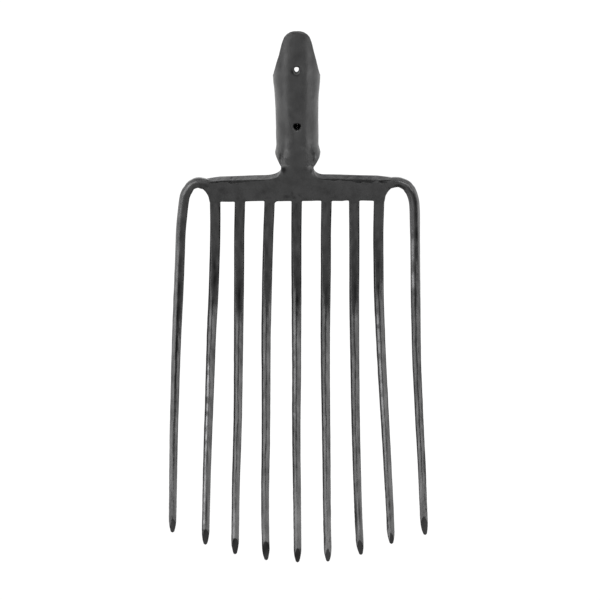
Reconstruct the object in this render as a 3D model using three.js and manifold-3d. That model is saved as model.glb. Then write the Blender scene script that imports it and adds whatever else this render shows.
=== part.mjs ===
// Head of a gravel fork: a rolled socket, a flat crossbar and nine curved tines.
// Millimetres. The head lies on its back, as on a bench: X runs across the tines, Y runs from
// the tips to the socket, and Z is up. The origin is below the middle of the head, on the bench.
// Heights are measured along the crossbar's face, up from its lower edge to the socket.

import * as THREE from 'three';
import { mergeVertices } from 'three/addons/utils/BufferGeometryUtils.js';
import Module from 'manifold-3d';

const wasm = await Module();
wasm.setup();

// Crossbar: a flat forged plate with a neck in the middle of its upper edge
const barThickness = 9;
const barHeight = 22.2;
const barEndDrop = 1.7;
const barHalfLength = 85.8;
const endSlopeLength = 6;
const barEdgeBevel = 0.9;
const neckWidth = 30.6;
const neckOffset = 0.9;
const neckFillet = 5.2;
const neckLength = 5.6;
const neckTop = barHeight + neckFillet + neckLength;
const rootFillet = 2.4;

// Tang: the end of the neck, which fits inside the foot of the socket
const tangLength = 20;
const tangWidth = 22;

// Socket: sheet rolled into a tube behind the plate's front face, with a tongue at the front.
// Each height on it is a rise from the one below: neck, heel, waist, mouth, tongue.
const socketWall = 3;
const mouthRadius = 21.4;
const waistRadius = 19.3;
const heelRadius = 20.4;
const heelRise = 8;
const heelFlare = 9;
const heelBackRise = 9;
const waistRise = 41;
const mouthRise = 32;
const tongueFlankRise = 34;
const tongueRise = 46.4;
const heelHeight = neckTop + heelRise;
const waistHeight = heelHeight + waistRise;
const mouthHeight = waistHeight + mouthRise;
const tongueHeight = mouthHeight + tongueRise;
const tongueFlankWidth = 27.4;
const tongueCrownSag = 11;
const tongueCornerRounding = 14;
const seamGap = 2.4;
const seamCornerDrop = 9;
const nailHoleDiameter = 5.2;
const lowerNailRise = 38.2;
const upperNailDrop = 35.1;

// Tines: bars that taper slowly, then run to a short point. The outer ones stand beyond the
// ends of the crossbar, and the others keep their share of the same spread.
const outerOverhang = 24.2;
const tineSpread = barHalfLength + outerOverhang;
const tineLength = 325.2;
const rootWidth = 9.1;
const rootDepth = 8.4;
const pointWidth = 6.4;
const pointDepth = 6.2;
const pointLength = 13;
const tipWidth = 1.8;
const tipDepth = 1.8;
const straightReach = 105;
const tipForward = 104;

// Tenons: each of the seven inner tines is let into the crossbar's lower edge
const tenonWidth = 6;
const tenonDepth = 4.6;
const tenonLength = 12;

// Loops: each outer tine rises from the end of the crossbar and turns down over it
const loopStartWidth = 10.4;
const loopWidth = 8.6;
const loopDepth = 8.6;
const loopStartDrop = 1;
const loopStartHeight = barHeight - barEndDrop - loopStartDrop - loopStartWidth / 2;
const leftLoopRise = 2.2;
const leftLoopReach = 13;
const leftLoopDrop = 16.6;
const rightLoopRise = 2.5;
const rightLoopReach = 16.2;
const rightLoopDrop = 19.1;
const archFoot = 6.5;

// Gap that welded pieces keep to each other, and how far a cut runs past a face
const fitGap = 0.3;
const cutOverrun = 5;

// Angle at which the head lies: the crossbar's face leans back from level
const lieAngle = THREE.MathUtils.degToRad(16.9);

// Places across the head, at the root, at each quarter of the tine and at its tip, as shares
// of tineSpread, and each tine's length as a share of tineLength.
const tineShares = [
  { name: 'left_outer_tine', across: [-0.956, -1.008, -1.036, -1.055, -1.063], length: 0.918 },
  { name: 'left_tine_3', across: [-0.695, -0.710, -0.740, -0.763, -0.780], length: 0.952 },
  { name: 'left_tine_2', across: [-0.481, -0.491, -0.501, -0.516, -0.525], length: 0.978 },
  { name: 'left_tine_1', across: [-0.228, -0.255, -0.262, -0.267, -0.259], length: 0.994 },
  { name: 'centre_tine', across: [0.002, -0.001, 0, 0.001, 0.011], length: 1 },
  { name: 'right_tine_1', across: [0.256, 0.250, 0.247, 0.258, 0.269], length: 0.999 },
  { name: 'right_tine_2', across: [0.494, 0.494, 0.501, 0.517, 0.546], length: 0.980 },
  { name: 'right_tine_3', across: [0.707, 0.704, 0.735, 0.777, 0.813], length: 0.949 },
  { name: 'right_outer_tine', across: [0.999, 1.020, 1.032, 1.065, 1.1], length: 0.925 },
];

const innerTines = tineShares.slice(1, -1);
const leftOuter = tineShares[0];
const rightOuter = tineShares[tineShares.length - 1];

// Black lacquer over forged steel: the socket's rolled sheet is smoother than the forged bars
const sheetFinish = { color: 0x3d3d3e, roughness: 0.42, metalness: 0.35 };
const barFinish = { color: 0x333334, roughness: 0.5, metalness: 0.35 };
const tineFinish = { color: 0x3a3a3b, roughness: 0.4, metalness: 0.4 };

// A closed solid for joining and cutting, from a geometry's triangles
function toSolid(geometry) {
  const bare = geometry.clone();
  bare.deleteAttribute('normal');
  bare.deleteAttribute('uv');
  const merged = mergeVertices(bare);
  const vertProperties = new Float32Array(merged.attributes.position.array);
  const triVerts = new Uint32Array(merged.index.array);
  return new wasm.Manifold(new wasm.Mesh({ numProp: 3, vertProperties, triVerts }));
}

// The geometry of a closed solid
function toGeometry(solid) {
  const mesh = solid.getMesh();
  const geometry = new THREE.BufferGeometry();
  geometry.setAttribute('position', new THREE.BufferAttribute(mesh.vertProperties, 3));
  geometry.setIndex(new THREE.BufferAttribute(mesh.triVerts, 1));
  geometry.computeVertexNormals();
  return geometry;
}

// Moves each vertex of a geometry to the place that a function gives for it
function reshape(geometry, place) {
  const position = geometry.attributes.position;
  const vertex = new THREE.Vector3();
  for (let i = 0; i < position.count; i += 1) {
    vertex.fromBufferAttribute(position, i);
    const moved = place(vertex);
    position.setXYZ(i, moved.x, moved.y, moved.z);
  }
  geometry.computeVertexNormals();
  return geometry;
}

// A named mesh with its own material
function namedMesh(name, geometry, finish) {
  const mesh = new THREE.Mesh(geometry, new THREE.MeshStandardMaterial(finish));
  mesh.name = name;
  return mesh;
}

// How far forward a tine stands at a distance below the crossbar. The side view is a curve
// with one control point: it leaves the bar in the bar's own plane and bends forward.
function forwardAt(below) {
  if (below <= 0) {
    return 0;
  }
  const bend = tineLength - 2 * straightReach;
  const share = below / (straightReach + Math.sqrt(straightReach ** 2 + bend * below));
  return tipForward * share ** 2;
}

// The points of a tine below the crossbar, from its places across
function tinePoints(tine) {
  const last = tine.across.length - 1;
  return tine.across.map((share, i) => {
    const below = (tineLength * tine.length * i) / last;
    return new THREE.Vector3(tineSpread * share, -below, forwardAt(below));
  });
}

// Eight-sided bar along a row of stations: each station has a centre, a direction, a width
// across the head, a depth through it and a corner bevel.
const barSides = 8;
const cornerBevelShare = 0.24;

function forgedBar(stations) {
  const halfSide = Math.PI / barSides;
  const rows = stations.length - 1;
  const unit = new THREE.CylinderGeometry(1, 1, 1, barSides, rows, false, halfSide);
  const faceNormal = new THREE.Vector3(0, 0, 1);
  return reshape(unit, (vertex) => {
    const station = stations[Math.round((0.5 - vertex.y) * rows)];
    const across = new THREE.Vector3().crossVectors(station.direction, faceNormal).normalize();
    const through = new THREE.Vector3().crossVectors(across, station.direction).normalize();
    const bevel = cornerBevelShare * Math.min(station.width, station.depth);
    const onFlank = Math.abs(vertex.x) > Math.abs(vertex.z);
    const middle = Math.hypot(vertex.x, vertex.z) < 0.5;
    const halfWidth = middle ? 0 : station.width / 2 - (onFlank ? 0 : bevel);
    const halfDepth = middle ? 0 : station.depth / 2 - (onFlank ? bevel : 0);
    return station.centre.clone()
      .addScaledVector(across, -Math.sign(vertex.x) * halfWidth)
      .addScaledVector(through, Math.sign(vertex.z) * halfDepth);
  });
}

// Stations along a tine's path, from its first full section to its tip
const tineSteps = 16;
const loopSteps = 10;
const pointShares = [0, 0.45, 0.8, 1];
const pointFillShares = [1, 0.78, 0.42, 0];

function taperStations(path, startWidth, startDepth, fullWidth, fullDepth, startLength) {
  const length = path.getLength();
  const bodyLength = length - pointLength;
  const startSteps = startLength > 0 ? loopSteps : 0;
  const stations = [];
  const addStation = (distance, width, depth) => {
    const share = Math.min(distance / length, 1);
    stations.push({ centre: path.getPointAt(share), direction: path.getTangentAt(share), width, depth });
  };
  for (let i = 0; i < startSteps + tineSteps; i += 1) {
    const distance = i < startSteps
      ? (startLength * i) / startSteps
      : THREE.MathUtils.lerp(startLength, bodyLength, (i - startSteps) / tineSteps);
    const swell = startLength > 0 ? Math.max(1 - distance / startLength, 0) ** 2 : 0;
    const taper = distance / bodyLength;
    const width = THREE.MathUtils.lerp(fullWidth, pointWidth, taper);
    const depth = THREE.MathUtils.lerp(fullDepth, pointDepth, taper);
    addStation(
      distance,
      THREE.MathUtils.lerp(width, startWidth, swell),
      THREE.MathUtils.lerp(depth, startDepth, swell),
    );
  }
  pointShares.forEach((share, i) => {
    const width = THREE.MathUtils.lerp(tipWidth, pointWidth, pointFillShares[i]);
    const depth = THREE.MathUtils.lerp(tipDepth, pointDepth, pointFillShares[i]);
    addStation(bodyLength + pointLength * share, width, depth);
  });
  return stations;
}

// Inner tine: a bar whose tenon fits the crossbar, with its shoulders under the root fillets
function innerTine(tine) {
  const points = tinePoints(tine);
  const root = points[0].clone();
  root.y = -rootFillet - fitGap;
  points[0] = root;
  const path = new THREE.CatmullRomCurve3(points, false, 'centripetal');
  const body = taperStations(path, rootWidth, rootDepth, rootWidth, rootDepth, 0);
  const up = new THREE.Vector3(0, 1, 0);
  const down = new THREE.Vector3(0, -1, 0);
  const tenonTop = root.clone().addScaledVector(up, rootFillet + tenonLength);
  body[0].direction = down;
  const tenon = [tenonTop, root].map((centre) => (
    { centre, direction: down, width: tenonWidth, depth: tenonDepth }
  ));
  return namedMesh(tine.name, forgedBar([...tenon, ...body]), tineFinish);
}

// Outer tine: a bar that butts against the crossbar's end, rises over a loop and runs down
const loopPoints = 5;

function outerTine(tine, side, rise, reach, drop) {
  const start = new THREE.Vector3(side * (barHalfLength + fitGap), loopStartHeight, 0);
  const topHeight = loopStartHeight + rise;
  const flank = tineSpread * tine.across[0];
  const points = [start];
  for (let i = 0; i <= loopPoints; i += 1) {
    const angle = (Math.PI / 2) * (i / loopPoints);
    const x = flank - side * reach * (1 - Math.sin(angle));
    const y = topHeight - drop * (1 - Math.cos(angle));
    points.push(new THREE.Vector3(x, y, forwardAt(-y)));
  }
  points.push(...tinePoints(tine).slice(1));
  const path = new THREE.CatmullRomCurve3(points, false, 'centripetal');
  const loopLength = Math.abs(flank) - barHalfLength + drop;
  const stations = taperStations(path, loopStartWidth, barThickness, loopWidth, loopDepth, loopLength);
  stations[0].direction = new THREE.Vector3(side, 0, 0);
  return namedMesh(tine.name, forgedBar(stations), tineFinish);
}

// Outline of the crossbar with its neck, a short stub for each inner tine and, at each end,
// the upper part of the arch between the last inner tine and the loop.
function crossbarOutline() {
  const neckLeft = neckOffset - neckWidth / 2;
  const neckRight = neckOffset + neckWidth / 2;
  const halfRoot = rootWidth / 2;
  const endTop = loopStartHeight + loopStartWidth / 2;
  const endBottom = loopStartHeight - loopStartWidth / 2;
  const shoulder = barHalfLength - endSlopeLength;
  const shoulderTop = barHeight - barEndDrop;
  const outline = new THREE.Shape();
  outline.moveTo(-barHalfLength, endBottom);
  outline.lineTo(-barHalfLength, endTop);
  outline.lineTo(-shoulder, shoulderTop);
  outline.lineTo(neckLeft - neckFillet, barHeight);
  outline.quadraticCurveTo(neckLeft, barHeight, neckLeft, barHeight + neckFillet);
  outline.lineTo(neckLeft, neckTop);
  outline.lineTo(neckRight, neckTop);
  outline.lineTo(neckRight, barHeight + neckFillet);
  outline.quadraticCurveTo(neckRight, barHeight, neckRight + neckFillet, barHeight);
  outline.lineTo(shoulder, shoulderTop);
  outline.lineTo(barHalfLength, endTop);
  outline.lineTo(barHalfLength, endBottom);
  [...innerTines].reverse().forEach((tine, i) => {
    const x = tineSpread * tine.across[0];
    const first = i === 0;
    const last = i === innerTines.length - 1;
    if (first) {
      outline.quadraticCurveTo(x + halfRoot, archFoot, x + halfRoot, -rootFillet);
    } else {
      outline.lineTo(x + halfRoot + rootFillet, 0);
      outline.quadraticCurveTo(x + halfRoot, 0, x + halfRoot, -rootFillet);
    }
    outline.lineTo(x - halfRoot, -rootFillet);
    if (last) {
      outline.quadraticCurveTo(x - halfRoot, archFoot, -barHalfLength, endBottom);
    } else {
      outline.quadraticCurveTo(x - halfRoot, 0, x - halfRoot - rootFillet, 0);
    }
  });
  return outline;
}

// The radius of the socket's outside at a height above the crossbar's lower edge
function socketRadius(height) {
  const { smoothstep, lerp } = THREE.MathUtils;
  const mouthShare = smoothstep(height, waistHeight, mouthHeight);
  const heelShare = 1 - smoothstep(height, heelHeight, heelHeight + heelFlare);
  return lerp(lerp(waistRadius, mouthRadius, mouthShare ** 2), heelRadius, heelShare);
}

// A point of the socket, at an angle round it from the middle of its front, at a height, and
// at a depth below its outer face. Towards the neck the front turns flat like the plate.
const flatteningPower = 3;

function socketPoint(angle, height, depth) {
  const radius = socketRadius(height) - depth;
  const axisDepth = barThickness / 2 - radius - depth;
  const flat = 1 - THREE.MathUtils.smoothstep(height, heelHeight, waistHeight);
  const power = THREE.MathUtils.lerp(1, flatteningPower, flat);
  const facing = Math.cos(angle);
  const forward = facing > 0 ? 1 - (1 - facing) ** power : facing;
  const offset = neckOffset * (1 - THREE.MathUtils.smoothstep(height, neckTop, mouthHeight));
  return new THREE.Vector3(offset + radius * Math.sin(angle), height, axisDepth + radius * forward);
}

// The upper edge of the sheet at an angle round the socket: the tongue at the front, the
// mouth at the back, and a rounded corner on each side of the seam.
const seamCornerShare = 0.8;

function softLesser(a, b, rounding) {
  const mix = THREE.MathUtils.clamp(0.5 + (b - a) / (2 * rounding), 0, 1);
  return THREE.MathUtils.lerp(b, a, mix) - rounding * mix * (1 - mix);
}

function socketTop(angle) {
  const away = Math.abs(angle);
  if (away < Math.PI / 2) {
    const across = Math.sin(away);
    const flankShare = (1 - across) / (1 - tongueFlankWidth / 2 / mouthRadius);
    const flank = mouthHeight + tongueFlankRise * flankShare;
    const crown = tongueHeight - tongueCrownSag * across ** 2;
    return softLesser(flank, crown, tongueCornerRounding);
  }
  const cornerShare = THREE.MathUtils.smoothstep(away, seamCornerShare * Math.PI, Math.PI);
  return mouthHeight - seamCornerDrop * cornerShare;
}

// The lower edge of the sheet: level across the neck, then rising to the heel round the sides
function socketBottom(angle) {
  const neckAngle = Math.asin(neckWidth / 2 / waistRadius);
  const sideShare = THREE.MathUtils.smoothstep(Math.abs(angle), neckAngle, Math.PI / 2);
  const backShare = THREE.MathUtils.smoothstep(Math.abs(angle), Math.PI / 2, Math.PI);
  const sideHeight = THREE.MathUtils.lerp(neckTop + fitGap, heelHeight, sideShare);
  return THREE.MathUtils.lerp(sideHeight, heelHeight + heelBackRise, backShare);
}

// The socket's sheet before its nail holes: a box bent round and shaped between its edges
const sheetColumns = 44;
const sheetRows = 16;

function socketSheet() {
  const seamAngle = Math.PI - seamGap / 2 / waistRadius;
  const sheet = new THREE.BoxGeometry(1, 1, 1, sheetColumns, sheetRows, 1);
  return reshape(sheet, (vertex) => {
    const angle = 2 * vertex.x * seamAngle;
    const height = THREE.MathUtils.lerp(socketBottom(angle), socketTop(angle), vertex.y + 0.5);
    return socketPoint(angle, height, vertex.z > 0 ? 0 : socketWall);
  });
}

// A nail hole's cutter, through the front wall only
const nailHoleSides = 20;

function nailHole(height) {
  const radius = nailHoleDiameter / 2;
  const cutter = new THREE.CylinderGeometry(radius, radius, 2 * cutOverrun, nailHoleSides);
  cutter.rotateX(Math.PI / 2);
  cutter.translate(0, height, barThickness / 2);
  return toSolid(cutter);
}

function socket() {
  const drilled = toSolid(socketSheet())
    .subtract(nailHole(neckTop + lowerNailRise))
    .subtract(nailHole(tongueHeight - upperNailDrop));
  return namedMesh('socket', toGeometry(drilled), sheetFinish);
}

// The space inside the socket's sheet, less the fit gap: what the tang may fill
function socketBore() {
  const bore = new THREE.CylinderGeometry(1, 1, 1, sheetColumns, sheetRows);
  return reshape(bore, (vertex) => {
    const height = THREE.MathUtils.lerp(0, mouthHeight, vertex.y + 0.5);
    if (Math.hypot(vertex.x, vertex.z) < 0.5) {
      return new THREE.Vector3(neckOffset, height, barThickness / 2 - waistRadius);
    }
    return socketPoint(Math.atan2(vertex.x, vertex.z), height, socketWall + fitGap);
  });
}

// The tang: a flat bar inside the socket's front wall, level with the back of the plate
function tang() {
  const front = barThickness / 2 - socketWall - fitGap;
  const thickness = barThickness - socketWall - fitGap;
  const low = neckTop - cutOverrun;
  const high = neckTop + tangLength;
  const bar = new THREE.BoxGeometry(tangWidth, high - low, thickness);
  bar.translate(neckOffset, (low + high) / 2, front - thickness / 2);
  return toSolid(bar).intersect(toSolid(socketBore()));
}

// A mortise in the crossbar's lower edge, for one tine's tenon
function mortise(tine) {
  const depth = tenonLength + fitGap;
  const low = -rootFillet - cutOverrun;
  const pocket = new THREE.BoxGeometry(
    tenonWidth + 2 * fitGap,
    depth - low,
    tenonDepth + 2 * fitGap,
  );
  pocket.translate(tineSpread * tine.across[0], (depth + low) / 2, 0);
  return toSolid(pocket);
}

const outlineSteps = 6;

function crossbar() {
  const plate = new THREE.ExtrudeGeometry(crossbarOutline(), {
    depth: barThickness - 2 * barEdgeBevel,
    bevelThickness: barEdgeBevel,
    bevelSize: barEdgeBevel,
    bevelOffset: -barEdgeBevel,
    bevelSegments: 1,
    curveSegments: outlineSteps,
  });
  plate.translate(0, 0, barEdgeBevel - barThickness / 2);
  let solid = toSolid(plate).add(tang());
  innerTines.forEach((tine) => {
    solid = solid.subtract(mortise(tine));
  });
  return namedMesh('crossbar', toGeometry(solid), barFinish);
}

// The head is built with the crossbar upright in the XY plane, then leaned back to lie down
const head = new THREE.Group();
head.add(socket());
head.add(crossbar());
innerTines.forEach((tine) => head.add(innerTine(tine)));
head.add(outerTine(leftOuter, -1, leftLoopRise, leftLoopReach, leftLoopDrop));
head.add(outerTine(rightOuter, 1, rightLoopRise, rightLoopReach, rightLoopDrop));
head.rotation.x = lieAngle;

const gravelFork = new THREE.Group();
gravelFork.add(head);

// The origin goes below the middle of the head, at the height of what it lies on
const bounds = new THREE.Box3().setFromObject(head, true);
const middle = bounds.getCenter(new THREE.Vector3());
head.position.set(-middle.x, -middle.y, -bounds.min.z);

export default gravelFork;
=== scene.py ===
# Head of a gravel fork, as it lies on a bench: a forged crossbar, nine tines and a rolled socket.
import math
from collections import namedtuple

import bpy
import numpy as np
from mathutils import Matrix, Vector


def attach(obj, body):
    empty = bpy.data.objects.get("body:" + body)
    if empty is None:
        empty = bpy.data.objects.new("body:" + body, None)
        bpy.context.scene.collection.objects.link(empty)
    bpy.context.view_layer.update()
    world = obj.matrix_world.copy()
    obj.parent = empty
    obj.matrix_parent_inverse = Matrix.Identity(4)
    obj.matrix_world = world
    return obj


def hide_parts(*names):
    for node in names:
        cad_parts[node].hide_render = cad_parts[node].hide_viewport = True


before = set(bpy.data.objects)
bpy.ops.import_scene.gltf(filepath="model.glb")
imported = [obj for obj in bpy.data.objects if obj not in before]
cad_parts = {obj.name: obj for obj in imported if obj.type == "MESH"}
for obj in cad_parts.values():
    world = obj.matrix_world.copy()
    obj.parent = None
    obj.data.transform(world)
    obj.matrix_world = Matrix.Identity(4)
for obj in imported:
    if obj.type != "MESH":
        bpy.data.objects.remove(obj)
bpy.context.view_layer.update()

scene = bpy.context.scene


# The crossbar
# A flat steel plate, forged with a neck in the middle of its upper edge. Its lower edge ends in
# seven short roots, to which the inner tines are forge welded, and arches up to the two loops.
millimetre = 0.001
# The bar's face leans back from level, and its own origin lies at this place in the frame
lie_angle = math.radians(16.9)
lie_place = (-1.8047, 94.2361, 18.0687)

bar_thickness = 9
bar_half_length = 88.8
bar_edge_round, rear_edge_round = 1, 0.6
neck_middle = 0.9
neck_half_width = 15.3
neck_top = 37
root_length = 13
root_half_width = 4.62
root_thinning = 0.55
root_fillet = 1.5
lower_edge_level = -0.75
lower_edge_slope = 0.006
foot_front = 31.5
neck_fillet_left, neck_fillet_right, neck_fillet_height = 14.5, 9.5, 6.2
# Heights up the socket between which its front turns from flat to round, and its radius there
flat_below, round_above = 31, 56
socket_front = 19.6


def lie_down(points):
    """Takes points in the head's own millimetres (across, up the bar's face, forward from the
    middle of its thickness), turns them back by the lie angle and moves them to the frame."""
    across, up, forward = points[..., 0], points[..., 1], points[..., 2]
    cosine, sine = math.cos(lie_angle), math.sin(lie_angle)
    turned = np.stack([across, cosine * up - sine * forward, sine * up + cosine * forward], -1)
    return (turned + lie_place) * millimetre


def smooth_rise(value, low, high):
    """0 below low, 1 above high, and 3 t^2 - 2 t^3 of the share t between them."""
    share = np.clip((value - low) / (high - low), 0, 1)
    return share * share * (3 - 2 * share)


def hammering(points, blow, seed, drawn=1):
    """Unevenness of hammered steel: the mean of twelve sine waves about one blow long, in
    directions and phases drawn from the seed. Points are in millimetres. A share below 1 for
    drawn makes the waves longer along the tines."""
    points = points * (1, drawn, 1)
    draw = np.random.default_rng(seed)
    waves = draw.normal(size=(12, 3))
    waves /= np.linalg.norm(waves, axis=1, keepdims=True) * blow * draw.uniform(0.7, 1.5, (12, 1))
    return np.sin(2 * np.pi * (points @ waves.T) + draw.uniform(0, 2 * np.pi, 12)).mean(-1)


def add_object(name, data):
    """Puts an object with the given data into the scene."""
    added = bpy.data.objects.new(name, data)
    scene.collection.objects.link(added)
    return added


def skin(name, rings, finish, slot, **masks):
    """Makes a closed mesh of rings[i, j], point j of ring i, in the head's millimetres. Four-sided
    faces join neighbours and a fan closes each end. A mask is one number a point, from 0 to 1."""
    count, around = rings.shape[:2]
    ends = np.stack([rings[0].mean(0), rings[-1].mean(0)])
    points = lie_down(np.concatenate([rings.reshape(-1, 3), ends]))
    here = np.arange(around)
    after = np.roll(here, -1)
    start = np.arange(count - 1)[:, None] * around
    quads = np.stack([start + here, start + after, start + around + after, start + around + here], -1)
    quads = quads.reshape(-1, 4)
    last = (count - 1) * around
    near = np.stack([after, here, np.full(around, count * around)], -1)
    far = np.stack([last + here, last + after, np.full(around, count * around + 1)], -1)
    corner = points[quads]
    volume = (np.cross(corner[:, 0], corner[:, 1]) * corner[:, 2]).sum()
    way = 1 if volume > 0 else -1
    faces = sum([part[:, ::way].tolist() for part in (quads, near, far)], [])
    mesh = bpy.data.meshes.new(name)
    mesh.from_pydata(points.tolist(), [], faces)
    mesh.polygons.foreach_set("use_smooth", np.ones(len(mesh.polygons), bool))
    for mask, values in masks.items():
        values = np.concatenate([values.reshape(-1), [values[0].mean(), values[-1].mean()]])
        layer = mesh.attributes.new(mask, "FLOAT", "POINT")
        layer.data.foreach_set("value", values.astype(np.float32))
    mesh.materials.append(finish)
    piece = add_object(name, mesh)
    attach(piece, "root")
    return piece


def add_node(tree, kind, inputs, **settings):
    """Adds a shader node to a tree, with its settings, and gives its outputs. Each input, by its
    name or its number, is given a value or the output that feeds it."""
    node = tree.nodes.new("ShaderNode" + kind)
    for name, value in settings.items():
        setattr(node, name, value)
    for name, value in inputs.items():
        if isinstance(value, bpy.types.NodeSocket):
            tree.links.new(value, node.inputs[name])
        else:
            node.inputs[name].default_value = value
    return node.outputs


def forge_skin_group():
    """Node group for hammered, lacquered steel: soft blows and fine scale, from noise of two
    sizes. It puts out a mottle mask, 0.55 blows + 0.45 grain, and a height, blows + 0.12 grain,
    as a share of the bump."""
    group = bpy.data.node_groups.new("forge_skin", "ShaderNodeTree")
    for label in ("Blow Scale", "Grain Scale", "Stretch"):
        group.interface.new_socket(label, in_out="INPUT", socket_type="NodeSocketFloat")
    for label in ("Mottle", "Height"):
        group.interface.new_socket(label, in_out="OUTPUT", socket_type="NodeSocketFloat")
    given = group.nodes.new("NodeGroupInput").outputs
    put = group.nodes.new("NodeGroupOutput")
    place = add_node(group, "TexCoord", {})["Object"]
    stretch = add_node(group, "CombineXYZ", {"X": 1, "Y": given["Stretch"], "Z": 1})["Vector"]
    drawn = add_node(group, "VectorMath", {0: place, 1: stretch}, operation="MULTIPLY")["Vector"]
    blows, grain = (
        add_node(group, "TexNoise", {
            "Vector": drawn, "Scale": given[scale], "Detail": detail, "Roughness": rough,
        })["Fac"]
        for scale, detail, rough in (("Blow Scale", 3, 0.5), ("Grain Scale", 4, 0.65))
    )
    share = add_node(group, "Math", {0: blows, 1: 0.55}, operation="MULTIPLY")["Value"]
    for label, weight, rest in (("Mottle", 0.45, share), ("Height", 0.12, blows)):
        total = add_node(group, "Math", {0: grain, 1: weight, 2: rest}, operation="MULTIPLY_ADD")
        group.links.new(total["Value"], put.inputs[label])
    return group


forge_skin = forge_skin_group()
bare_steel = (0.13, 0.13, 0.132, 1)
# Painted shade: the dark mask lays this near-black colour and gloss on spots of the tines where no hollow
# is shaped, and on their ground points
painted_shade_black = (0.0025, 0.0025, 0.0026, 1)
painted_shade_roughness = 0.13
glossy_level, matt_level = 0.5, 0.08


def lacquered_steel(name, dark, light, dull, bright, blow_scale, grain_scale, stretch, bump, sheen):
    """Black lacquer over forged steel. Colour from dark to light and roughness from dull to
    bright follow the mottle, and the height makes the bump. A noise of the material's own varies
    the sheen by a share. The worn mask bares steel, the dark mask paints shade as a glossy
    near-black spot, and the matt mask leaves a dull one that reflects little."""
    material = bpy.data.materials.new(name)
    material.use_nodes = True
    tree = material.node_tree
    forged = add_node(tree, "Group", {
        "Blow Scale": blow_scale, "Grain Scale": grain_scale, "Stretch": stretch,
    }, node_tree=forge_skin)
    spread = {"Value": forged["Mottle"], "From Min": 0.35, "From Max": 0.65}
    worn, painted_shade, matt = (
        add_node(tree, "Attribute", {}, attribute_name=mask)["Fac"] for mask in ("worn", "dark", "matt")
    )
    tint = add_node(tree, "MapRange", spread)["Result"]
    colour = (*dark, 1)
    # The last blend paints shade: near black wherever the dark mask lies
    for shade, share in (((*light, 1), tint), (bare_steel, worn), (painted_shade_black, painted_shade)):
        blend = add_node(tree, "Mix", {"A": colour, "B": shade, "Factor": share}, data_type="RGBA")
        colour = blend["Result"]
    gloss = add_node(tree, "MapRange", {**spread, "To Min": dull, "To Max": bright})["Result"]
    rough = add_node(tree, "Mix", {"A": gloss, "B": painted_shade_roughness, "Factor": painted_shade})
    place = add_node(tree, "TexCoord", {})["Object"]
    drawn = add_node(tree, "Mapping", {"Vector": place, "Scale": (1, stretch, 1)})["Vector"]
    cloud = add_node(tree, "TexNoise", {
        "Vector": drawn, "Scale": blow_scale, "Detail": 5, "Roughness": 0.65,
    })
    gleam = add_node(tree, "MapRange", {
        **spread, "Value": cloud["Fac"], "To Min": 1 - sheen, "To Max": 1 + sheen,
    }, clamp=False)
    dulled = add_node(tree, "MapRange", {"Value": matt, "To Min": glossy_level, "To Max": matt_level})
    level = add_node(tree, "Math", {0: gleam["Result"], 1: dulled["Result"]}, operation="MULTIPLY")
    relief = add_node(tree, "Bump", {"Height": forged["Height"], "Distance": bump * millimetre})
    shader = tree.nodes["Principled BSDF"]
    shader.inputs["IOR"].default_value = 1.55
    for name, result in (
        ("Base Color", colour), ("Metallic", worn), ("Roughness", rough["Result"]),
        ("Specular IOR Level", level["Value"]), ("Normal", relief["Normal"]),
    ):
        tree.links.new(result, shader.inputs[name])
    return material


plate_finish = lacquered_steel(
    "plate_lacquer", dark=(0.001, 0.001, 0.0011), light=(0.011, 0.011, 0.0113), dull=0.42, bright=0.3,
    blow_scale=110, grain_scale=1000, stretch=0.7, bump=0.6, sheen=0.07,
)

# Middles of the seven inner tines at the bar
root_middles = (-76.3, -53, -25.1, 0.3, 28.3, 54.3, 77.7)
# How far the lower edge lies off its level line, at places across
level_dips = (
    (-70, -0.5), (-64, -0.68), (-60, -0.64), (-46, -0.3), (-41, -0.1), (-32, 0),
    (-15.4, -0.4), (-10.7, -0.27), (12.8, -0.24), (19.4, -0.1), (42.9, -0.5), (46.6, -0.05),
    (62.6, -0.2), (67.3, -0.3), (72, -0.5),
)
# The one root with a large fillet on its right: which, how wide and how tall
large_fillet = (2, 3.6, 3.2)
# The bar's upper edge, and the arches at the ends of its lower edge: place across and up
upper_edge = (
    (-90, 18.6), (-84, 19), (-79, 19.9), (-72, 20.9), (-60, 21.3), (-40, 22.1), (-14, 22.7),
    (16, 23.3), (40, 22.9), (60, 22.2), (76, 21.9), (81, 21.3), (90, 20.4),
)
left_arch = (
    (-91.5, 12.1), (-89.6, 11.6), (-87.9, 10.5), (-86.4, 9.1), (-85.2, 7.8), (-84.2, 6.3), (-83.4, 5),
    (-82.6, 3.2), (-81.9, 0.7),
)
right_arch = (
    (82.9, 1), (84, 4.4), (85, 6.3), (86, 8), (87.3, 9.6), (88.8, 11), (90.5, 12.1), (92.5, 12.8),
)


def at_places(across, table):
    """Values at any places across, straight between a table's rows of place and value."""
    return np.interp(across, *np.transpose(table))


def quarter(beside, wide, tall):
    """Height of a quarter ellipse, wide and tall, at a distance from its high end: that of a
    fillet beside its wall, or the fall of a rounded edge inside the outline."""
    share = np.clip(1 - beside / wide, 0, 1)
    return tall * (1 - np.sqrt(1 - share**2))


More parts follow.
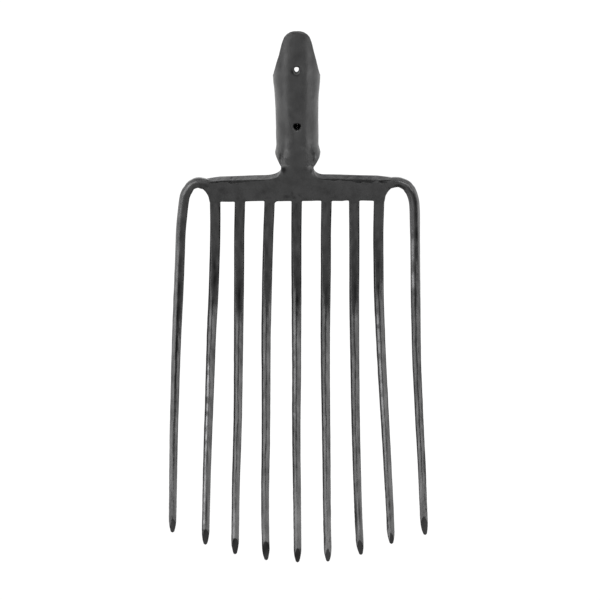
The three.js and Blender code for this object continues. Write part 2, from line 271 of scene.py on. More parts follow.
def bar_lower_edge(across):
    """The plate's lower outline: nearly level, with a fillet beside each root, each root a deep
    blunt tongue, and at each end the arch that runs up to the loop."""
    level = lower_edge_level + lower_edge_slope * across + at_places(across, level_dips)
    edge = level.copy()
    for number, middle in enumerate(root_middles):
        large = (across > middle) & (number == large_fillet[0])
        wide, tall = (np.where(large, size, root_fillet) for size in large_fillet[1:])
        beside = np.abs(across - middle) - root_half_width
        filled = level - quarter(beside, wide, tall)
        inside = np.minimum(np.abs(across - middle) / root_half_width, 1)
        tongue = level - tall - (root_length - tall) * (1 - inside**6) ** (1 / 6)
        edge = np.minimum(edge, np.where(beside < 0, tongue, filled))
    for arch, middle, side in ((left_arch, root_middles[0], -1), (right_arch, root_middles[-1], 1)):
        outer = side * (across - middle)
        turned_up = smooth_rise(outer, root_half_width - 0.02, root_half_width + 1.4)
        rise = at_places(across, arch) - level + root_fillet
        edge = np.where(outer > root_half_width, level - root_fillet + rise * turned_up, edge)
    return edge


def bar_upper_edge(across):
    """The plate's upper outline: the bar's back, a long fillet on the left and a short one on the
    right, and the neck, which ends inside the socket's wall as a deep blunt tongue."""
    back = at_places(across, upper_edge)
    beside = np.abs(across - neck_middle) - neck_half_width
    wide = np.where(across < neck_middle, neck_fillet_left, neck_fillet_right)
    fillet = quarter(beside, wide, neck_fillet_height)
    inside = np.minimum(np.abs(across - neck_middle) / neck_half_width, 1)
    shoulder = at_places(neck_middle, upper_edge) + neck_fillet_height
    tongue = shoulder + (neck_top - shoulder) * (1 - inside**8) ** (1 / 8)
    return np.where(beside < 0, tongue, back + fillet)


def bar_columns():
    """Places across the bar: even steps, with many more beside each root and each side of the
    neck, where the outline is steep."""
    places = [np.linspace(-bar_half_length, bar_half_length, 250)]
    inside = np.linspace(0.03, 1, 12) ** 2
    steep = [(middle, root_half_width, 1.6) for middle in root_middles]
    for middle, half, inward in steep + [(neck_middle, neck_half_width, 3.4)]:
        for step in (-inward * inside, 2.6 * inside):
            places += [middle - half - step, middle + half + step]
    places = np.unique(np.round(np.concatenate(places), 2))
    return places[(places >= -bar_half_length) & (places <= bar_half_length)]


def rows_between(low, high, bevel):
    """Heights of the points up each column: steps from the lower edge, fixed heights that all
    columns share, held inside those steps, and finer steps to the bevel and up to its edge."""
    from_low = np.array([0, 0.1, 0.25, 0.45, 0.7, 1.0, 1.5, 2.2])
    to_bevel = np.array([5.4, 4.2, 3.2, 2.4, 1.7, 1.1, 0.65, 0.3, 0.07])
    on_bevel = np.array([1, 0.93, 0.72, 0.48, 0.22, 0])
    scale = np.minimum(1, (high - low) / 10)[:, None]
    to_high = np.concatenate([bevel[:, None] + to_bevel, bevel[:, None] * on_bevel], 1) * scale
    level = np.arange(-13, 30, 1.25)
    step = 0.02 * np.arange(1, len(level) + 1)
    lowest = low[:, None] + from_low[-1] * scale + step
    highest = high[:, None] - to_high[:, :1] - step[::-1]
    middle = np.minimum(np.maximum(level[None, :], lowest), highest)
    return np.concatenate([low[:, None] + from_low * scale, middle, high[:, None] - to_high], 1)


def distance_to(points, line):
    """Distance of each point from the nearest place on a line of points."""
    start, step = line[:-1], np.diff(line, axis=0)
    away = points[:, None] - start[None]
    share = np.clip((away * step).sum(-1) / (step * step).sum(-1), 0, 1)
    return np.sqrt(((away - share[..., None] * step) ** 2).sum(-1).min(1))


# The back of the bar leans: its front edge lies lower than its rear edge, and is bruised by the
# hammer to a ragged bevel, deep at some places across and shallow at others. These are the lean,
# the bevel's width and how far the face falls softly towards it, at places across.
back_lean = (
    (-90, 0.9), (-84, 1.8), (-76, 2.8), (-20, 2.9), (0, 2), (20, 2.8), (78, 3.1), (84, 1.6), (90, 0.8),
)
bruise = (
    (-90, 0.4), (-84, 0.5), (-80, 1.8), (-70, 2), (-58, 2), (-46, 1.3), (-38, 0.7), (-30, 0.9),
    (-22, 0.4), (-15, 0.25), (17, 0.25), (24, 0.5), (32, 1.3), (40, 1.8), (46, 0.9), (52, 1.3),
    (60, 2.4), (70, 2.2), (76, 1.4), (84, 0.8), (90, 0.5),
)
soft_fall = ((-90, 0), (-60, 0.15), (0, 0), (30, 0.3), (62, 0.5), (80, 0.4), (90, 0))
# Slope of the bevel, and how far in from the edge the soft fall begins
bruise_fall = math.tan(math.radians(44))
soft_reach = 9
# How far the lacquer is worn off the bar's back, at places across
back_wear = (
    (-86, 0), (-80, 0.4), (-74, 0.85), (-24, 0.65), (0, 0.3), (20, 0.12), (50, 0.12), (64, 0.4),
    (76, 0.4), (84, 0),
)
# Dull black pits in its front: place across and up, reach across and up, and strength
plate_pits = (
    (-12, 29.3, 2.2, 3, 1.5), (-84.2, 13.2, 2, 1.2, 0.6), (-92, 4, 0.9, 1.2, 0.4),
    (-74.5, 17.6, 1.2, 0.8, 0.8), (-9, 3.2, 3, 1.4, 0.5), (-4, 6.6, 1.2, 1.4, 0.6),
    (-1.5, 2.4, 1.6, 1.6, 0.5), (2.6, 5, 1.4, 1.2, 0.5), (79, 17.5, 3, 0.7, 1.1),
    (84.5, 17.6, 2.2, 0.6, 0.7), (-55, 1.6, 2, 1.2, 0.5), (13.8, 27.4, 1, 1.6, 0.7),
    (-30, 8, 2.5, 2, 0.25), (36, 3, 2.2, 1.6, 0.3), (-71, 10, 2.4, 1.8, 0.25),
    (-27, 2, 3, 1.2, 0.4),
)
# Steel bared by scuffs on it, written the same way
plate_scuffs = (
    (-83.6, 17.6, 2.6, 0.8, 0.5), (-14, 34.6, 0.6, 1.8, 0.8), (11.6, 30.4, 1.4, 1.6, 0.35),
    (15, 25.6, 1.4, 0.9, 0.3), (75.4, 18.2, 1.6, 0.6, 0.45), (71.8, 19.4, 1.8, 0.6, 0.35),
)
# Blows that forged its faces: how high, how long and the seed of their draw
plate_blows = ((0.18, 26, 11), (0.11, 10, 12), (0.05, 4.5, 13))
# Dents in it, with their depths
plate_dents = (
    (-85.9, 17.4, 1.3, 0.9, -0.14), (-84.2, 13.6, 1.6, 1.3, 0.22), (-92, 4, 1, 1, 0.2),
    (-5.1, 7.4, 1.2, 1.2, 0.14), (-9, 3, 2.6, 1.3, 0.16), (-3.4, 2, 2.2, 1.5, 0.14),
    (1.8, 4.2, 1.8, 1.4, 0.12), (74.5, 20.2, 1.1, 0.9, 0.3), (76.4, 18.4, 1.2, 0.8, 0.3),
    (79, 17.2, 1.6, 0.7, 0.26), (81.6, 16.4, 1.1, 1.2, 0.22), (-14.2, 29.6, 1.3, 2.6, 0.3),
    (12.6, 30.2, 1.2, 2.4, -0.14), (-49.5, 9.5, 2.4, 1.6, 0.1), (33, 12.5, 2.6, 1.8, 0.09),
    (61, 8, 2, 2.4, 0.1), (-68, 5, 1.8, 2, 0.12), (21.5, 5.5, 1.5, 1.5, 0.1),
)


def dented(points, dents):
    """Depth of a set of dents, each a bell: depth exp(-(away / reach)^2) both across and up."""
    across, up = points[..., 0], points[..., 1]
    return sum(
        depth * np.exp(-(((across - x) / wide) ** 2) - ((up - y) / tall) ** 2)
        for x, y, wide, tall, depth in dents
    )


def hammered_face(points, blows):
    """Height of a hammered face: the sum over its blows of their height times their unevenness."""
    return sum(rise * hammering(points, blow, seed) for rise, blow, seed in blows)


def flat_power(height):
    """Power that flattens the socket's front: 1.4 by the neck, and 1 where the front is round."""
    return 1 + 0.4 * (1 - smooth_rise(height, flat_below, round_above))


def socket_curve(aside, height):
    """How far the front of the socket falls back at a distance aside of its middle. It is round
    far above the neck, r (1 - root(1 - (aside / r)^2)), and near it that share is raised to a
    power, which leaves it almost flat."""
    share = 1 - np.sqrt(np.clip(1 - (aside / (1.03 * socket_front)) ** 2, 0, 1))
    return socket_front * share ** flat_power(height)


def crossbar_rings():
    """One ring for each place across: up the front face, over the bar's back, down the rear face
    and under the lower edge. Depths follow from each point's distance to the outlines: the bevel
    falls by its slope times (width - distance)."""
    across = bar_columns()
    low, high = bar_lower_edge(across), bar_upper_edge(across)
    line = np.outer(across, (1, 0, 0))
    ragged, ragged_fine = hammering(line, 11, 14), hammering(line, 4, 15)
    on_neck = 1 - smooth_rise(np.abs(across - neck_middle), neck_half_width, neck_half_width + 4)
    lean = at_places(across, back_lean) * (1 + 0.25 * ragged) * (1 - 0.6 * on_neck)
    bevel = at_places(across, bruise) * (1 + 0.9 * ragged + 0.5 * ragged_fine)
    soft = at_places(across, soft_fall)[:, None]
    into_tines = 0.5 * smooth_rise(np.abs(across), 80, 88)[:, None]
    faces = []
    for upper, width in ((high - lean, bevel), (high, 0 * bevel + 0.6)):
        up = rows_between(low, upper, width)
        flat = np.stack([across[:, None] + 0 * up, up], -1)
        from_low, from_high = (
            distance_to(flat.reshape(-1, 2), np.stack([across, edge], -1)).reshape(up.shape)
            for edge in (low, upper)
        )
        thinned = root_thinning * (1 - smooth_rise(up, -root_length, -0.5)) + into_tines
        faces.append((up, flat, quarter(from_low, bar_edge_round, bar_edge_round), from_high, thinned))
    up, flat, fall, from_high, thinned = faces[0]
    front = bar_thickness / 2 - fall - bruise_fall * np.maximum(bevel[:, None] - from_high, 0)
    front -= soft * np.clip(1 - from_high / soft_reach, 0, 1) ** 2
    front -= dented(flat, plate_dents)
    aside = np.clip(across - neck_middle, -neck_half_width, neck_half_width)[:, None]
    corner = 0.5 + 2.6 * np.abs(aside / neck_half_width) ** 3
    front -= 0.45 * socket_curve(aside, up) * smooth_rise(up, 20, 33)
    front -= corner * smooth_rise(up, 30.5, 37.5)
    face = np.concatenate([flat, (front - thinned)[..., None]], -1)
    up, flat, fall, from_high, thinned = faces[1]
    back = -bar_thickness / 2 + fall + quarter(from_high, rear_edge_round, rear_edge_round)
    under_sheet = 1.7 * smooth_rise(up, foot_front, foot_front + 5)
    rear = np.concatenate([flat, (back + under_sheet + thinned)[..., None]], -1)
    share = np.linspace(0, 1, 7)[None, 1:-1, None]
    over = face[:, -1:] + (rear[:, -1:] - face[:, -1:]) * share
    under = rear[:, :1] + (face[:, :1] - rear[:, :1]) * share
    over[..., 1] += 0.5 * hammering(over, 6, 16) * np.sin(np.pi * share[..., 0])
    rings = np.concatenate([face, over, rear[:, ::-1], under], 1)
    rings[..., 2] += hammered_face(rings, plate_blows)
    worn, matt = np.zeros(rings.shape[:2]), np.zeros(rings.shape[:2])
    in_front = slice(face.shape[1])
    on_back = slice(face.shape[1], face.shape[1] + over.shape[1])
    worn[:, on_back] = (at_places(across, back_wear) * (1 + 0.8 * ragged_fine))[:, None]
    worn[:, in_front] = dented(face, plate_scuffs)
    matt[:, in_front] = np.clip(dented(face, plate_pits), 0, 1)
    return rings, {"worn": worn, "matt": matt}


plate_rings, plate_marks = crossbar_rings()
crossbar_plate = skin("crossbar_plate", plate_rings, plate_finish, "forged_plate", **plate_marks)
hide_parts("crossbar")


# The inner tines
# Seven square bars, drawn out under the hammer: flat in front near the crossbar, ridged further
# down, and ground to a point. Each is forge welded to its root under the bar.
tine_length = 325.2
straight_reach = 105
tip_forward = 104
point_length = 14
tip_round = 1.3
ground_slope = math.tan(math.radians(10))


def forward_of_bar(below):
    """How far forward a tine stands at a distance below the bar: a curve with one control point
    that leaves the bar in its own plane, share = below / (reach + root(reach^2 + bend below))."""
    below = np.maximum(below, 0)
    bend = tine_length - 2 * straight_reach
    share = below / (straight_reach + np.sqrt(straight_reach**2 + bend * below))
    return tip_forward * share**2


def through_points(stations, steps):
    """A smooth curve through stations, by cubic pieces whose slope at each station is that of the
    line between its neighbours, at equal steps along it."""
    gaps = np.sqrt(np.linalg.norm(np.diff(stations, axis=0), axis=1))
    knots = np.append(0, np.cumsum(gaps))
    slopes = np.gradient(stations, knots, axis=0)
    fine = np.linspace(0, knots[-1], 1500)
    piece = np.clip(np.searchsorted(knots, fine, "right") - 1, 0, len(knots) - 2)
    gap = (knots[piece + 1] - knots[piece])[:, None]
    t = (fine[:, None] - knots[piece][:, None]) / gap
    curve = (
        (2 * t**3 - 3 * t**2 + 1) * stations[piece]
        + (t**3 - 2 * t**2 + t) * gap * slopes[piece]
        + (3 * t**2 - 2 * t**3) * stations[piece + 1]
        + (t**3 - t**2) * gap * slopes[piece + 1]
    )
    run = np.append(0, np.cumsum(np.linalg.norm(np.diff(curve, axis=0), axis=1)))
    even = np.linspace(0, run[-1], steps)
    return np.stack([np.interp(even, run, line) for line in curve.T], -1), even


def forged_section(half_width, half_depth, front, flat, bevels, edges, steeps):
    """The bar's outline at each station: a flat front, a bevel and a steeper edge on each side,
    the flanks and a back with cut corners. Each corner is rounded by the curve between two points
    beside it, (1 - t)^2 a + 2 t (1 - t) corner + t^2 b."""
    halves = []
    for start, bevel, edge, steep in zip(flat, bevels, edges, steeps):
        start, edge, fall = start * half_width, edge * half_width, np.tan(np.radians(bevel))
        steep = math.tan(math.radians(steep))
        edge_height = half_depth - (edge - start) * fall
        on_bevel = start + (half_depth - front) / np.maximum(fall, 1e-9)
        on_edge = edge + (edge_height - front) / steep
        top = np.minimum(np.where(front > edge_height, on_bevel, on_edge), 0.86 * half_width)
        rim = np.maximum(edge, top + 0.02 * half_width)
        rim_height = np.minimum(edge_height, front - 0.02 * half_depth)
        shoulder = rim_height - (half_width - rim) * steep
        cut = 0.22 * half_depth
        halves.append([
            (top, front), (rim, rim_height), (half_width, shoulder),
            (half_width, cut - half_depth), (half_width - cut, -half_depth),
        ])
    left, right = halves
    outline = right + [(-across, up) for across, up in left[::-1]]
    corners = np.stack([np.stack(corner, -1) for corner in outline], 1)
    rounding = np.array([0.5, 0.4, 0.5, 0.6, 0.6, 0.6, 0.6, 0.5, 0.4, 0.5])

    def beside(target):
        """The corner moved towards a target by its rounding, at most 0.4 of the way."""
        step = target - corners
        length = np.linalg.norm(step, axis=-1)
        return corners + step * (np.minimum(rounding, 0.4 * length) / length)[..., None]

    before, after = beside(np.roll(corners, 1, 1)), beside(np.roll(corners, -1, 1))
    before, corner, after = before[:, :, None], corners[:, :, None], after[:, :, None]
    t = np.linspace(0, 1, 5)[:, None]
    curve = (1 - t) ** 2 * before + 2 * t * (1 - t) * corner + t**2 * after
    s = np.array([0.25, 0.5, 0.75])[:, None]
    between = after * (1 - s) + np.roll(before, -1, 1) * s
    return np.concatenate([curve, between], 2).reshape(len(corners), -1, 2)


def forged_bar(centres, section, twist):
    """Rings of a forged bar round a line of centres: each point of the section lies across and
    through the bar, turned by the twist at its station."""
    along = np.gradient(centres, axis=0)
    along /= np.linalg.norm(along, axis=1, keepdims=True)
    across = np.cross((0, 0, 1), along)
    across /= np.linalg.norm(across, axis=1, keepdims=True)
    through = np.cross(along, across)
    turned = across * np.cos(twist)[:, None] + through * np.sin(twist)[:, None]
    upright = through * np.cos(twist)[:, None] - across * np.sin(twist)[:, None]
    return centres[:, None] + turned[:, None] * section[..., :1] + upright[:, None] * section[..., 1:]


def drawn_out(share, sizes):
    """A half width or half depth along a tine, from its values at tenths of the tine's length."""
    return np.interp(share, np.linspace(0, 1, len(sizes)), sizes)


def end_share(run, length):
    """0 up to a length from the tip, then the share of that length, 1 at the tip."""
    return np.clip(1 - (run[-1] - run) / length, 0, 1)


tine_finish = lacquered_steel(
    "tine_lacquer", dark=(0.002, 0.002, 0.0021), light=(0.014, 0.014, 0.0143), dull=0.32, bright=0.2,
    blow_scale=230, grain_scale=900, stretch=0.14, bump=0.26, sheen=0.16,
)

# Steps along a tine, how far it starts up inside the bar, its half widths and half depths at
# tenths of its length, where its ridge grows over its whole front, and how far worn streaks and
# spots of painted shade reach across it, as shares of its half width
tine_steps = 420
root_reach = 8
tine_half_widths = (4.98, 4.86, 4.82, 4.7, 4.46, 4.26, 4.1, 3.94, 3.8, 3.66, 3.6)
tine_half_depths = (4.4, 4.3, 4.2, 4.05, 3.9, 3.75, 3.6, 3.5, 3.35, 3.2, 3.1)
late_ridge = (0.74, 0.9)
streak_reach, shade_spot_reach = 0.29, 0.34

# What sets a tine apart: its places across at tenths of its length, that length's share of the
# longest, where its left and right front faces start to lean, the two sides of its flat front as
# shares of its half width, the leans of the two faces, its twist, how long its point is ground,
# how much painted shade darkens that point (dull as well, above 0.8), how far aside the point
# lies, and how dull the scale makes its left and right edges near the bar. Then worn streaks (from,
# to, place across, strength) and dark spots of painted shade (middle, reach, place across,
# strength), as shares of its length and of its half width. The outer tines have their own values
# for the last five: how much of its lean each face has from the start, where the two faces end
# near the bar and further down, as shares of the half width, how steep the edges beyond them
# are, the middle line of the loop, and how much stouter the bar is just past it.
Tine = namedtuple("Tine", (
    "node", "places", "length", "starts", "flat", "lean", "twist", "ground", "ground_dark", "point_aside",
    "dull", "streaks", "hollows", "early", "facet_edges", "steeps", "loop", "stouter",
), defaults=((0.14, 0.1), ((0.72, 0.62), (0.75, 0.88)), (43, 48), (), 0))
inner_tines = (
    Tine("left_tine_3", (-76.3, -76.4, -77.3, -78.5, -80.2, -81.3, -82.3, -83.4, -84.3, -84.9, -85.5),
         0.953, (0.3, 0.325), (0.18, 0.02), (26, 19), 1, 15, 1.15, 0, (0.5, 1),
         ((0.34, 0.47, -0.42, 0.45), (0.49, 0.76, -0.42, 1), (0.76, 0.965, -0.42, 1)),
         ((0.76, 0.03, 0.05, 1), (0.9, 0.06, 0.1, 1), (0.215, 0.025, 0, 1), (0.25, 0.025, 0.15, 1),
          (0.315, 0.012, -0.1, 0.5))),
    Tine("left_tine_2", (-53, -53.8, -54, -54.3, -54.6, -54.9, -55.2, -55.9, -56.9, -57.3, -57.6),
         0.978, (0.335, 0.335), (0.12, 0.14), (24, 18), 0, 15.5, 1.25, 0, (0.95, 0.7),
         ((0.34, 0.46, -0.32, 0.3), (0.87, 0.97, -0.35, 0.7)),
         ((0.87, 0.03, 0, 0.5), (0.9, 0.02, -0.75, 0.4), (0.285, 0.03, 0.08, 1),
          (0.32, 0.012, 0.15, 0.5))),
    Tine("left_tine_1", (-25.1, -26.4, -27.4, -28.1, -28.7, -28.7, -28.7, -28.9, -29.4, -29.3, -28.3),
         0.9935, (0.29, 0.3), (0.12, 0.14), (22, 18), -1, 18, 1.5, 0, (1, 0.5), (),
         ((0.86, 0.03, -0.7, 0.7), (0.85, 0.03, 0.3, 0.5), (0.91, 0.02, 0, 0.35),
          (0.225, 0.01, -0.2, 0.4))),
    Tine("centre_tine", (0.3, 0, 0, 0.1, 0.1, 0.2, -0.1, 0, 0.5, 0.9, 1.2),
         0.999, (0.26, 0.33), (0.14, 0.14), (25, 19), 0, 13.5, 1.4, -0.2, (0.8, 0.9),
         ((0.33, 0.62, -0.45, 0.55),),
         ((0.2, 0.02, 0.15, 0.5), (0.25, 0.02, 0.1, 0.7), (0.297, 0.016, 0.15, 0.9),
          (0.335, 0.01, 0.1, 0.6))),
    Tine("right_tine_1", (28.3, 27.8, 27.8, 27.5, 27.3, 27.4, 27.8, 28.2, 28.5, 28.9, 29.6),
         0.997, (0.295, 0.33), (0.15, 0.12), (23, 19), 0, 12, 0.8, 0, (0.6, 0.9),
         ((0.5, 0.8, -0.42, 0.2), (0.84, 0.93, -0.4, 0.5)),
         ((0.9, 0.05, -0.8, 0.8), (0.94, 0.02, -0.7, 0.8), (0.28, 0.03, 0.1, 0.5))),
    Tine("right_tine_2", (54.3, 54.6, 54.7, 54.6, 54.9, 55.3, 55.7, 56.4, 57.3, 58.4, 60.1),
         0.9795, (0.31, 0.335), (0.14, 0.12), (22, 19), -1, 14, 0.85, 0.6, (0.6, 0.7),
         ((0.84, 0.94, -0.1, 0.6),),
         ((0.89, 0.06, -0.6, 1), (0.88, 0.04, 0.25, 0.9), (0.285, 0.035, 0.2, 0.7))),
    Tine("right_tine_3", (77.7, 77.2, 77.5, 78, 79.3, 80.8, 82.6, 84.4, 86.1, 87.8, 89.1),
         0.951, (0.28, 0.265), (0.1, 0.14), (26, 18), 1, 10.5, 1, 0.3, (0.9, 0),
         ((0.35, 0.64, -0.42, 0.8), (0.64, 0.8, -0.42, 0.4)),
         ((0.86, 0.02, -0.1, 0.7), (0.89, 0.02, -0.05, 1), (0.925, 0.02, 0, 0.8),
          (0.21, 0.02, -0.05, 0.7), (0.28, 0.02, -0.05, 0.7))),
)


def growth(share, start, early):
    """Share of its full lean that a front face has along the tine: early near the crossbar, then
    most of the rest within a tenth of the length, and the last of it more slowly."""
    quick = smooth_rise(share, start - 0.05, start + 0.05)
    slow = smooth_rise(share, start - 0.02, start + 0.28)
    return early + (1 - early) * (0.62 * quick + 0.38 * slow)


def tine_shape(tine, centres, run, share, half_width, half_depth, seed):
    """Rings of a tine round its line: the sides fall to the point with a power of the share of
    it, a plane ground on the front falls faster, and hammering moves each point along its
    radius. It gives each point's place across and up as well, as shares of the half sizes."""
    to_point, cut = end_share(run, point_length), end_share(run, tine.ground)
    front = half_depth - 0.3 * smooth_rise(cut, 0, 0.1) - tine.ground * ground_slope * cut
    centres = centres + np.outer(tine.point_aside * to_point**1.6, (1, 0, 0))
    half_width = half_width * (1 - 0.64 * to_point**2.2)
    half_depth = half_depth * (1 - 0.4 * to_point**1.8)
    front = np.minimum(front, half_depth)
    cap = np.sqrt(np.clip(1 - end_share(run, tip_round) ** 2, 1e-4, 1))
    drift = hammering(np.outer(run, (1, 0, 0)), 26, seed + 5)
    settled = smooth_rise(run, 3, 17)
    late = smooth_rise(share, *late_ridge)
    ridge, wide, leans, edges = [], [], [], []
    sides = zip(tine.flat, (1, -1), tine.starts, tine.early, tine.lean, tine.facet_edges)
    for flat, way, start, early, lean, (first, last) in sides:
        grown = growth(share, start, early) * settled
        narrowed = smooth_rise(share, start - 0.13, start + 0.03)
        flat = 0.5 - (0.5 - flat + way * 0.2 * drift) * np.maximum(narrowed, early)
        edge = first + (last - first) * smooth_rise(share, start - 0.2, start + 0.06)
        ridge.append(grown)
        wide.append(flat * (1 - 0.8 * late))
        leans.append(lean * grown)
        edges.append(np.minimum(edge + 0.14 * late, 0.97))
    sizes = half_width * cap, half_depth * cap, front * cap
    section = forged_section(*sizes, wide, leans, edges, tine.steeps)
    rings = forged_bar(centres, section, np.radians(tine.twist + 2.5 * drift) * ridge[0])
    outward = rings - centres[:, None]
    outward /= np.linalg.norm(outward, axis=-1, keepdims=True)
    fine = (0.25 + 0.7 * late)[:, None] * hammering(rings, 3.2, seed + 1)
    streaks = 0.7 * hammering(rings, 3, seed + 3, 0.12)
    uneven = hammering(rings, 7, seed, 0.4) + fine + streaks
    across, up = section[..., 0] / half_width[:, None], section[..., 1] / half_depth[:, None]
    behind = smooth_rise(-up, 0, 0.6)
    swell = uneven * (1 - 0.7 * behind) * (0.07 + 0.1 * ridge[0][:, None]) - 0.07 * behind
    return rings + outward * (swell * cap[:, None])[..., None], across, up


def tine_marks(tine, rings, across, up, run, share, seed):
    """The masks of a tine's lacquer. A worn streak or a spot of painted shade is a bell curve across,
    exp(-(away / reach)^2), times one along. The scale left on its edges dulls them near the bar,
    patches of it dull its front, and painted shade darkens its ground point."""
    beads = smooth_rise(hammering(np.outer(run, (1, 0, 0)), 9, seed + 2), -0.55, 0.05)[:, None]
    worn, painted_shade = 0 * across, 0 * across
    for begin, end, middle, strength in tine.streaks:
        ended = smooth_rise(share, end - 0.02, end + 0.02)
        along = smooth_rise(share, begin - 0.02, begin + 0.02) * (1 - ended)
        worn += strength * along[:, None] * np.exp(-(((across - middle) / streak_reach) ** 2)) * beads
    # Spots of painted shade: near black and glossy, where no hollow is shaped
    for middle, reach, aside, strength in tine.hollows:
        along = np.exp(-(((share - middle) / reach) ** 2))
        bell = np.exp(-(((across - aside) / shade_spot_reach) ** 2))
        painted_shade = np.maximum(painted_shade, strength * along[:, None] * bell)
    late = smooth_rise(share, *late_ridge)
    ground_off = smooth_rise(run, run[-1] - tine.ground, run[-1] - tine.ground + 1.2)[:, None]
    # The dark mask paints shade on the spots and on the ground point
    dark = np.maximum(painted_shade, min(tine.ground_dark, 1) * ground_off)
    in_front = smooth_rise(up, 0.1, 0.4)
    scaled = np.where(across < 0, *tine.dull) * (1 - smooth_rise(share, 0.2, 0.34))[:, None]
    scaled = scaled * (0.75 + 0.9 * hammering(rings, 6, seed + 4, 0.3))
    matt = np.clip(scaled, 0, 1) * smooth_rise(np.abs(across), 0.66, 0.8) * smooth_rise(run, 6, 10)[:, None]
    patches = smooth_rise(hammering(rings, 5, seed + 6, 0.35), -0.3, 0.5)
    matt = np.maximum(matt, (0.55 + 0.45 * late)[:, None] * painted_shade)
    matt = matt + 0.3 * patches * (1 - late)[:, None]
    matt = np.clip(matt + max(tine.ground_dark - 0.8, 0) * (0.7 + 0.5 * patches) * ground_off, 0, 1)
    return {"worn": np.clip(worn, 0, 1) * in_front, "dark": dark * in_front, "matt": matt}


def forged_tine(tine, centres, run, share, half_width, half_depth, seed):
    """Makes a tine's piece from its line and its half sizes."""
    rings, across, up = tine_shape(tine, centres, run, share, half_width, half_depth, seed)
    marks = tine_marks(tine, rings, across, up, run, share, seed)
    piece = skin(tine.node + "_bar", rings, tine_finish, "forged_tines", **marks)
    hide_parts(tine.node)


for number, tine in enumerate(inner_tines):
    below = tine_length * tine.length * np.linspace(0, 1, len(tine.places))
    stations = np.stack([tine.places, -below, forward_of_bar(below)], -1)
    stations = np.concatenate([[[tine.places[0], root_reach, 0.0]], stations])
    centres, run = through_points(stations, tine_steps)
    share = run / run[-1]
    half_width = drawn_out(share, tine_half_widths)
    half_depth = drawn_out(share, tine_half_depths) - 0.4 * (1 - smooth_rise(run, 3, 9))
    forged_tine(tine, centres, run, share, half_width, half_depth, 30 + 9 * number)


# The outer tines
# Each is drawn out from the end of the crossbar itself: it leaves the bar's end, rises a little,
# turns over in a round loop and runs down outside the other tines.
# Half widths at tenths of the leg, which begins this far along the loop. The lengths, streaks
# and spots of painted shade below are shares of that leg
outer_half_widths = (4.65, 4.65, 4.65, 4.6, 4.35, 4.15, 4.05, 3.9, 3.8, 3.65, 3.5)
loop_reach = 45
outer_tines = (
    Tine("left_outer_tine",
         (-108.8, -110.1, -111.4, -112.8, -113.9, -114.7, -115.5, -115.9, -116.2, -116.4),
         0.921, (0.33, 0.36), (0.18, 0.34), (26, 17), 0, 13, 0, 0, (0, 0.3),
         ((-0.13, 0.02, -0.42, 0.45), (-0.02, 0.26, -0.5, 0.3), (0.3, 0.44, -0.45, 0.35)),
         ((-0.13, 0.02, 0, 0.6), (-0.02, 0.02, 0.2, 0.4), (0.08, 0.02, 0.1, 0.5), (0.16, 0.03, 0.1, 0.8),
          (0.24, 0.03, 0, 0.8), (0.32, 0.04, -0.02, 0.9), (0.42, 0.05, 0, 0.9), (0.52, 0.05, 0.05, 0.8),
          (0.92, 0.06, -0.5, 0.45), (0.92, 0.06, 0.3, 0.5), (0.955, 0.01, 0, 0.7)),
         early=(0.95, 0.12), facet_edges=((0.68, 0.95), (0.8, 0.86)), steeps=(64, 48), stouter=0.12,
         loop=((-81.5, 14), (-85.3, 14.6), (-88.9, 15.45), (-91.5, 16.1), (-94.1, 15.7), (-96.4, 14.8),
               (-98.6, 13.5), (-100.35, 11.55), (-101.45, 9.5), (-102.9, 7.35), (-103.9, 5.2),
               (-104.7, 3), (-105.7, -2.1), (-106.6, -8.6))),
    Tine("right_outer_tine", (111.8, 112.3, 112.6, 113.1, 113.7, 115.1, 116.5, 118.1, 119.2, 120.5),
         0.9275, (0.33, 0.3), (0.16, 0.2), (22, 22), 0, 17.5, 0.7, 0.55, (0, 0),
         ((-0.12, -0.03, 0.42, 0.25), (-0.06, 0.25, -0.5, 1.3), (-0.02, 0.3, 0.72, 0.4)),
         ((-0.03, 0.04, 0.14, 0.8), (0.03, 0.03, 0.12, 0.9), (0.08, 0.03, 0.14, 1),
          (0.14, 0.03, 0.14, 0.9), (0.2, 0.03, 0.1, 0.6), (0.28, 0.04, 0, 0.5), (0.93, 0.03, -0.3, 0.5)),
         early=(0.75, 0.95), facet_edges=((0.8, 0.68), (0.6, 0.9)), steeps=(43, 66), stouter=0.32,
         loop=((81.5, 14.6), (85.2, 15.4), (88.9, 15.9), (91.9, 16.35), (94.5, 16.5), (97.2, 16.1),
               (99.6, 15.2), (102.1, 13.9), (104.2, 12.3), (105.65, 10.2), (107.25, 8.1),
               (108.3, 5.8), (109.3, 3.1), (110.65, -2.4), (111.3, -9.4))),
)

for number, tine in enumerate(outer_tines):
    across, up = np.transpose(tine.loop)
    bend = np.stack([across, up, forward_of_bar(-up)], -1)
    below = tine_length * tine.length * np.linspace(0, 1, len(tine.places) + 1)[1:]
    leg = np.stack([tine.places, -below, forward_of_bar(below)], -1)
    centres, run = through_points(np.concatenate([bend, leg]), tine_steps + 60)
    share = (run - loop_reach) / (run[-1] - loop_reach)
    drawn = smooth_rise(run, 3, 16)
    inside = 1 - smooth_rise(run, 1, 8)
    half_width = drawn_out(share, outer_half_widths)
    half_width += 0.25 * (1 - drawn) - 0.42 * drawn * (1 - smooth_rise(run, 17, 29)) - 0.2 * inside
    half_width += tine.stouter * smooth_rise(run, 16, 26) * (1 - smooth_rise(run, 50, 80))
    half_depth = drawn_out(share, tine_half_depths) + 0.12 * (1 - drawn) - 0.6 * inside
    forged_tine(tine, centres, run, share, half_width, half_depth, 110 + 9 * number)


